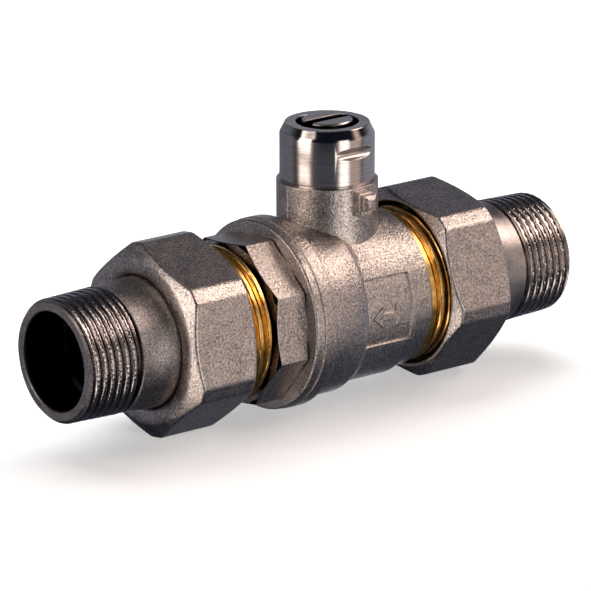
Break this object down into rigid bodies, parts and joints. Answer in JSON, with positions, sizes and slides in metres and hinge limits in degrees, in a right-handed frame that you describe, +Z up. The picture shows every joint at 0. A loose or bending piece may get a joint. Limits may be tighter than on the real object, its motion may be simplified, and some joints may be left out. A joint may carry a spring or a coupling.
{
  "type": "two-way ball valve for a motor actuator, with union ends",
  "caption": "Nickel-plated brass ball valve with a union nut and male threaded tailpiece at each end and a slotted stem in a round collar for a motor actuator.",
  "frame": {"origin": "where the pipe axis crosses the stem axis, at the centre of the ball", "axes": "+X along the pipe towards the body's own union spigot, +Z up along the stem axis out of the actuator collar"},
  "size_m": [0.1287, 0.041, 0.0598],
  "materials": {
    "nickel_body": "nickel-plated forging, fine blasted grain",
    "nickel_nut": "nickel-plated forging, coarse blasted grain",
    "nickel_tail": "nickel-plated, turned threads and satin shank",
    "bare_brass": "turned, nickel-plated",
    "chromed_ball": "polished hard chrome",
    "seat_plastic": "PTFE",
    "seal_rubber": "smooth",
    "spring_steel": "blued spring steel",
    "fibre_gasket": "fibre and rubber sheet"
  },
  "bodies": {
    "valve": {"valve_body": "nickel_body", "end_adapter": "nickel_body", "body_joint_seal": "seal_rubber", "left_ball_seat": "seat_plastic", "right_ball_seat": "seat_plastic", "left_seat_o_ring": "seal_rubber", "right_seat_o_ring": "seal_rubber", "stem_guide_bush": "seat_plastic"},
    "stem_and_ball": {"stem": "bare_brass", "ball": "chromed_ball", "stem_thrust_washer": "seat_plastic", "lower_stem_o_ring": "seal_rubber", "upper_stem_o_ring": "seal_rubber", "stem_retaining_ring": "spring_steel"},
    "left_tail": {"left_tailpiece": "nickel_tail", "left_union_gasket": "fibre_gasket"},
    "left_nut": {"left_union_nut": "nickel_nut"},
    "right_tail": {"right_tailpiece": "nickel_tail", "right_union_gasket": "fibre_gasket"},
    "right_nut": {"right_union_nut": "nickel_nut"}
  },
  "joints": [
    {"name": "stem_quarter_turn", "type": "hinge", "parent": "valve", "child": "stem_and_ball", "pos_m": [0, 0, 0], "axis": [0, 0, -1], "range_deg": [0, 90]},
    {"name": "left_tail_slide", "type": "slide", "parent": "valve", "child": "left_tail", "axis": [-1, 0, 0], "range_m": [0, 0.00654]},
    {"name": "left_nut_turn", "type": "hinge", "parent": "left_tail", "child": "left_nut", "pos_m": [-0.0413, 0, 0], "axis": [-1, 0, 0], "range_deg": [0, 1020]},
    {"name": "right_tail_slide", "type": "slide", "parent": "valve", "child": "right_tail", "axis": [1, 0, 0], "range_m": [0, 0.00654]},
    {"name": "right_nut_turn", "type": "hinge", "parent": "right_tail", "child": "right_nut", "pos_m": [0.0272, 0, 0], "axis": [1, 0, 0], "range_deg": [0, 1020]}
  ],
  "couplings": [
    {"joint": "left_nut_turn", "follows": "left_tail_slide", "rad_per_m": 2721.2},
    {"joint": "right_nut_turn", "follows": "right_tail_slide", "rad_per_m": 2721.2}
  ]
}
